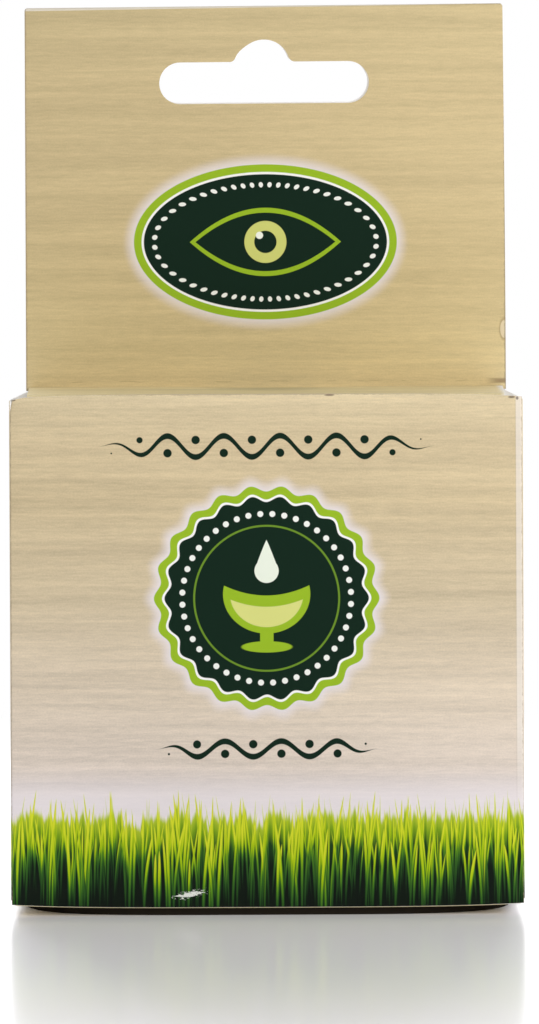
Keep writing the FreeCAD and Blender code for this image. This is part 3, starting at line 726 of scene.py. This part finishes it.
def board_piece(node, name, outward, printed, plain="white_board", bends=()):
    """A panel cut from the CAD panel's own outline, printed on one side, that stands for it."""
    settings = bpy.context.scene.carton_board
    source = frame["nodes"][node]
    low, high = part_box(node)
    shape = bmesh.new()
    shape.from_mesh(source.data)
    bmesh.ops.remove_doubles(shape, verts=shape.verts, dist=0.001 * MM)
    bmesh.ops.dissolve_limit(shape, angle_limit=math.radians(1), verts=shape.verts, edges=shape.edges)
    cut_cells(shape, low, high, settings.cell)
    for face in shape.faces:
        face.material_index = 0 if face.normal.dot(outward) > 0.3 else 1
        face.smooth = True
    bends = (wave_of(node, outward, settings.wave), settle) + tuple(bends)
    for vertex in shape.verts:
        vertex.co += sum((bend(vertex.co) for bend in bends), Vector())
    mesh = bpy.data.meshes.new(name)
    shape.to_mesh(mesh)
    shape.free()
    mesh.set_sharp_from_angle(angle=math.radians(32))
    piece = bpy.data.objects.new(name, mesh)
    bpy.context.scene.collection.objects.link(piece)
    mesh.materials.append(material(printed))
    mesh.materials.append(material(plain))
    soften = piece.modifiers.new("soft_edges", "BEVEL")
    soften.width = settings.edge
    soften.segments = 2
    soften.limit_method = "ANGLE"
    soften.angle_limit = math.radians(50)
    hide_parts(node)
    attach(piece, body_of(node))
    return piece


def body_of(node):
    bodies = frame["record"]["behaviour"]["bodies"]
    return next(body for body, nodes in bodies.items() if node in nodes)


def dent(centre, reach, move):
    """A bend that pushes the board by a move at a centre and dies out over a reach, in millimetres.

    An axis whose reach is 0 doesn't count.
    """
    def bend(point):
        away = sum(((point[axis] / MM - centre[axis]) / reach[axis]) ** 2
                   for axis in range(3) if reach[axis])
        return Vector(move) * (MM * math.exp(-away))
    return bend


class CARTON_OT_header(bpy.types.Operator):
    """Make the back wall with the header's back ply, and the front ply folded over it"""

    bl_idname = "carton.header"
    bl_label = "Header"

    def execute(self, context):
        def lean(point):
            rise = smooth_share(point.z / MM, WALL_TOP, 2 * HEADER_TOP - WALL_TOP) * 2
            across = 0.5 + point.x / MM / HALF_WIDTH / 2
            return Vector((-HEADER_LEAN * across, 0, -HEADER_DROP * (1 - across))) * (rise * MM)

        wide_hump = dent((-4.4, 0, 123.4), (2.2, 0, 1.7), (-HUMP_WIDENING, 0, 0))
        board_piece("back_panel", "back_wall", REAR, "back_wall_print", bends=(lean, wide_hump))
        board_piece("header_front_ply", "header_front", FRONT, "header_print", bends=(lean, wide_hump))
        return {"FINISHED"}


class CARTON_OT_walls(bpy.types.Operator):
    """Make the front wall, the two side walls and the glue flap"""

    bl_idname = "carton.walls"
    bl_label = "Walls"

    def execute(self, context):
        drop = context.scene.carton_board.corner_drop

        def tired_corners(point):
            side = min(abs(point.x) / MM / HALF_WIDTH, 1.0) ** 5
            top = smooth_share(point.z / MM, WALL_TOP - 12, WALL_TOP)
            return Vector((0, 0, -drop * side * top))

        crush = dent((-HALF_WIDTH, 0, WALL_TOP), (0.7, 0, 0.7), (0.35, 0.2, -0.25))
        board_piece("front_panel", "front_wall", FRONT, "front_wall_print", bends=(tired_corners, crush))
        board_piece("left_side_panel", "left_wall", LEFT, "side_wall_print")
        board_piece("right_side_panel", "right_wall", RIGHT, "side_wall_print")
        board_piece("glue_seam_flap", "glue_flap", LEFT, "white_board")
        return {"FINISHED"}


class CARTON_OT_top_closure(bpy.types.Operator):
    """Make the lid, its tuck flap and the dust flaps under it"""

    bl_idname = "carton.top_closure"
    bl_label = "Top closure"

    def execute(self, context):
        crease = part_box("top_lid")[1].y / MM
        sag = dent((1.0, crease - 1.0, 0), (9.5, 1.8, 0), (0, 0, -LID_SAG))
        board_piece("top_lid", "lid", UP, "lid_print", bends=(sag,))
        board_piece("top_tuck_flap", "lid_tuck", FRONT, "tuck_print")
        board_piece("top_dust_flap_left", "dust_flap_left", UP, "white_board")
        board_piece("top_dust_flap_right", "dust_flap_right", UP, "white_board")
        return {"FINISHED"}


class CARTON_OT_bottom_closure(bpy.types.Operator):
    """Make the bottom lid, its tuck flap and its dust flaps"""

    bl_idname = "carton.bottom_closure"
    bl_label = "Bottom closure"

    def execute(self, context):
        lid_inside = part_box("bottom_lid")[1].z / MM
        tuck_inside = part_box("bottom_tuck_flap")[0].y / MM
        lid_pressed = dent((0, tuck_inside, lid_inside), (0, 1.0, 0.2), (0, 0, -CREASE_PRESS))
        tuck_pressed = dent((0, tuck_inside, lid_inside), (0, 0.2, 1.0), (0, CREASE_PRESS, 0))
        board_piece("bottom_lid", "floor_lid", DOWN, "lid_print", bends=(lid_pressed,))
        board_piece("bottom_tuck_flap", "floor_tuck", REAR, "tuck_print", bends=(tuck_pressed,))
        board_piece("bottom_dust_flap_left", "floor_dust_flap_left", DOWN, "white_board")
        board_piece("bottom_dust_flap_right", "floor_dust_flap_right", DOWN, "white_board")
        return {"FINISHED"}


class CARTON_OT_cradle(bpy.types.Operator):
    """Make the folded cradle that carries the cup"""

    bl_idname = "carton.cradle"
    bl_label = "Cradle"

    def execute(self, context):
        for node, name, outward in (("cradle_deck", "deck", UP), ("cradle_leg_left", "leg_left", LEFT),
                                    ("cradle_leg_right", "leg_right", RIGHT),
                                    ("cradle_skirt_front", "skirt_front", FRONT),
                                    ("cradle_skirt_rear", "skirt_rear", REAR)):
            board_piece(node, name, outward, "cradle_board", "cradle_board")
        return {"FINISHED"}


# Glass


def glass_tint(graph):
    """Pressed glass is a shade greener where it is thick, near the foot."""
    _, _, z = graph.place_mm()
    return graph.blend(graph.ramp_up(z, 24.0, 8.0), (0.985, 1.0, 0.995, 1.0), (0.90, 0.985, 0.95, 1.0))


def glass_ripple(graph):
    """The slow ripple of glass pressed in an iron mould."""
    x, y, z = graph.place_mm()
    return graph.grain(graph.times(x, 0.22), graph.times(y, 0.22), graph.times(z, 0.3), 2.0, 0.5)


class CARTON_OT_cup(bpy.types.Operator):
    """Make the glass eye bath"""

    bl_idname = "carton.cup"
    bl_label = "Glass eye bath"

    def execute(self, context):
        shape = bmesh.new()
        shape.from_mesh(frame["nodes"]["eye_cup"].data)
        bmesh.ops.remove_doubles(shape, verts=shape.verts, dist=0.001 * MM)
        for face in shape.faces:
            face.smooth = True
        mesh = bpy.data.meshes.new("glass_cup")
        shape.to_mesh(mesh)
        shape.free()
        mesh.set_sharp_from_angle(angle=math.radians(28))
        cup = bpy.data.objects.new("glass_cup", mesh)
        bpy.context.scene.collection.objects.link(cup)
        mesh.materials.append(finish("pressed_glass", glass_tint, 0.03, glass_ripple, 0.05 * MM,
                                     Transmission_Weight=1.0, IOR=1.51, Alpha=0.45, Coat_Weight=1.0))
        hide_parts("eye_cup")
        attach(cup, body_of("eye_cup"))
        return {"FINISHED"}


# Stage


def floor_material():
    """A white sheet that mirrors the carton softly and keeps its shadow."""
    made = bpy.data.materials.new("glossy_white_floor")
    made.use_nodes = True
    graph = Graph(made.node_tree)
    tree = graph.tree
    tree.nodes.clear()
    dull = graph.node("ShaderNodeBsdfDiffuse")
    dull.inputs["Color"].default_value = (0.95, 0.94, 0.985, 1)
    shine = graph.node("ShaderNodeBsdfGlossy")
    shine.inputs["Color"].default_value = (1, 1, 1, 1)
    shine.inputs["Roughness"].default_value = 0.17
    both = graph.node("ShaderNodeMixShader")
    both.inputs[0].default_value = 0.24
    tree.links.new(dull.outputs[0], both.inputs[1])
    tree.links.new(shine.outputs[0], both.inputs[2])
    white = graph.node("ShaderNodeEmission")
    x, y, _ = graph.place_mm()
    far = graph.ramp_up(graph.length(x, y), 130, 260)
    faded = graph.node("ShaderNodeMixShader")
    graph.feed(faded.inputs[0], graph.times(far, graph.node("ShaderNodeLightPath").outputs["Is Camera Ray"]))
    tree.links.new(both.outputs[0], faded.inputs[1])
    tree.links.new(white.outputs[0], faded.inputs[2])
    result = graph.node("ShaderNodeOutputMaterial")
    tree.links.new(faded.outputs[0], result.inputs["Surface"])
    return made


def contact_shadow_slab(gap):
    """Painted shadow: a near-black slab between the carton and the floor, standing for the shade under the
    loaded base's unseen bulge.
    """
    shape = bmesh.new()
    bmesh.ops.create_cone(shape, cap_ends=True, segments=96, radius1=1, radius2=1, depth=1)
    for vertex in shape.verts:
        for axis, half in ((0, HALF_WIDTH - 1.0), (1, HALF_DEPTH - 1.0)):
            vertex.co[axis] = math.copysign(abs(vertex.co[axis]) ** 0.45, vertex.co[axis]) * half * MM
        vertex.co.z = -0.1 * MM if vertex.co.z > 0 else -gap
    mesh = bpy.data.meshes.new("contact_shadow_slab")
    shape.to_mesh(mesh)
    shape.free()
    mesh.materials.append(finish("bulge_shadow", lambda graph: (0.02, 0.016, 0.012, 1), 1.0,
                                 Specular_IOR_Level=0.0))
    item = bpy.data.objects.new("contact_shadow_slab", mesh)
    bpy.context.scene.collection.objects.link(item)


def white_world(strength):
    """White where the camera, a mirror or glass looks. As a light it is softer, and strongest low down."""
    world = bpy.data.worlds.new("studio")
    world.use_nodes = True
    graph = Graph(world.node_tree)
    tree = graph.tree
    tree.nodes.clear()
    light = graph.node("ShaderNodeBackground")
    light.inputs["Color"].default_value = (1, 1, 1, 1)
    ways = graph.node("ShaderNodeSeparateXYZ")
    graph.feed(ways.inputs[0], graph.node("ShaderNodeTexCoord").outputs["Generated"])
    height = graph.math("ABSOLUTE", ways.outputs[2])
    band = graph.times(graph.ramp_up(height, 0.85, 0.3), graph.ramp_up(height, 0.02, 0.3))
    graph.feed(light.inputs["Strength"], graph.times(graph.add(graph.times(band, 1.7), 1.0), strength))
    seen = graph.node("ShaderNodeBackground")
    seen.inputs["Color"].default_value = (1, 1, 1, 1)
    seen.inputs["Strength"].default_value = 1.0
    ray = graph.node("ShaderNodeLightPath")
    direct = graph.any_of(ray.outputs["Is Camera Ray"], ray.outputs["Is Glossy Ray"],
                          ray.outputs["Is Transmission Ray"])
    both = graph.node("ShaderNodeMixShader")
    graph.feed(both.inputs[0], direct)
    tree.links.new(light.outputs[0], both.inputs[1])
    tree.links.new(seen.outputs[0], both.inputs[2])
    result = graph.node("ShaderNodeOutputWorld")
    tree.links.new(both.outputs[0], result.inputs["Surface"])
    return world


def panel_lamp(name, place, size, power):
    """A square soft box that faces the carton."""
    data = bpy.data.lights.new(name, "AREA")
    data.size = size
    data.energy = power
    item = bpy.data.objects.new(name, data)
    item.location = place
    item.rotation_mode = "QUATERNION"
    item.rotation_quaternion = (Vector((0, 0, 0.06)) - Vector(place)).to_track_quat("-Z", "Y")
    bpy.context.scene.collection.objects.link(item)
    return item


def lamp(name, towards, strength, angle):
    """A far soft lamp that shines in one direction."""
    data = bpy.data.lights.new(name, "SUN")
    data.energy = strength
    data.angle = math.radians(angle)
    item = bpy.data.objects.new(name, data)
    item.rotation_mode = "QUATERNION"
    item.rotation_quaternion = Vector(towards).to_track_quat("-Z", "Y")
    bpy.context.scene.collection.objects.link(item)
    return item


class CARTON_OT_stage(bpy.types.Operator):
    """Make the floor, the near-black slab of painted contact shadow, the lamps, the white surroundings and
    the camera
    """

    bl_idname = "carton.stage"
    bl_label = "Stage"

    def execute(self, context):
        scene = context.scene
        settings = scene.carton_stage
        shape = bmesh.new()
        bmesh.ops.create_grid(shape, x_segments=1, y_segments=1, size=3.0)
        mesh = bpy.data.meshes.new("floor")
        shape.to_mesh(mesh)
        shape.free()
        floor = bpy.data.objects.new("floor", mesh)
        floor.location.z = -settings.gap
        scene.collection.objects.link(floor)
        mesh.materials.append(floor_material())
        # A near-black slab paints the contact shadow under the base.
        contact_shadow_slab(settings.gap)
        scene.world = white_world(settings.sky)
        panel_lamp("key", (0.42, -0.36, 0.28), 0.36, 1.5)
        lamp("rear_fill", (0.05, -1.0, -0.5), 0.9, 60)
        floor_light = lamp("floor_light", (0.05, -1.0, -0.64), 2.2, 32)
        lit = bpy.data.collections.new("lit_by_floor_light")
        lit.objects.link(floor)
        floor_light.light_linking.receiver_collection = lit
        data = bpy.data.cameras.new("camera")
        focal_pixels = settings.pixels_per_mm * settings.distance / MM
        data.sensor_width = 36
        data.lens = focal_pixels * data.sensor_width / FRAME_HEIGHT
        data.shift_y = (settings.horizon - FRAME_HEIGHT / 2) / FRAME_HEIGHT
        data.clip_start, data.clip_end = 0.01, 20
        camera = bpy.data.objects.new("camera", data)
        camera.location = (0.6 * MM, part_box("front_panel")[0].y - settings.distance, settings.height)
        camera.rotation_euler = (math.radians(90), settings.roll, 0)
        scene.collection.objects.link(camera)
        scene.camera = camera
        scene.view_settings.view_transform = "Standard"
        return {"FINISHED"}


class CARTON_PT_panel(bpy.types.Panel):
    """Lists the carton's pieces in the order in which they are made"""

    bl_idname = "CARTON_PT_panel"
    bl_label = "Hanging Carton"
    bl_space_type = "VIEW_3D"
    bl_region_type = "UI"
    bl_category = "Carton"

    def draw(self, context):
        for operator in OPERATORS:
            self.layout.operator(operator.bl_idname)
        scene = context.scene
        for settings in (scene.carton_print, scene.carton_board, scene.carton_stage):
            for name in settings.__annotations__:
                self.layout.prop(settings, name)


OPERATORS = (CARTON_OT_header, CARTON_OT_walls, CARTON_OT_top_closure, CARTON_OT_bottom_closure,
             CARTON_OT_cradle, CARTON_OT_cup, CARTON_OT_stage)
CLASSES = (PrintSettings, BoardSettings, StageSettings) + OPERATORS + (CARTON_PT_panel,)


def register():
    for item in CLASSES:
        bpy.utils.register_class(item)
    bpy.types.Scene.carton_print = PointerProperty(type=PrintSettings)
    bpy.types.Scene.carton_board = PointerProperty(type=BoardSettings)
    bpy.types.Scene.carton_stage = PointerProperty(type=StageSettings)


def unregister():
    del bpy.types.Scene.carton_stage
    del bpy.types.Scene.carton_board
    del bpy.types.Scene.carton_print
    for item in reversed(CLASSES):
        bpy.utils.unregister_class(item)


def main():
    register()
    bpy.ops.carton.header()
    bpy.ops.carton.walls()
    bpy.ops.carton.top_closure()
    bpy.ops.carton.bottom_closure()
    bpy.ops.carton.cradle()
    bpy.ops.carton.cup()
    bpy.ops.carton.stage()


if __name__ == "__main__":
    main()
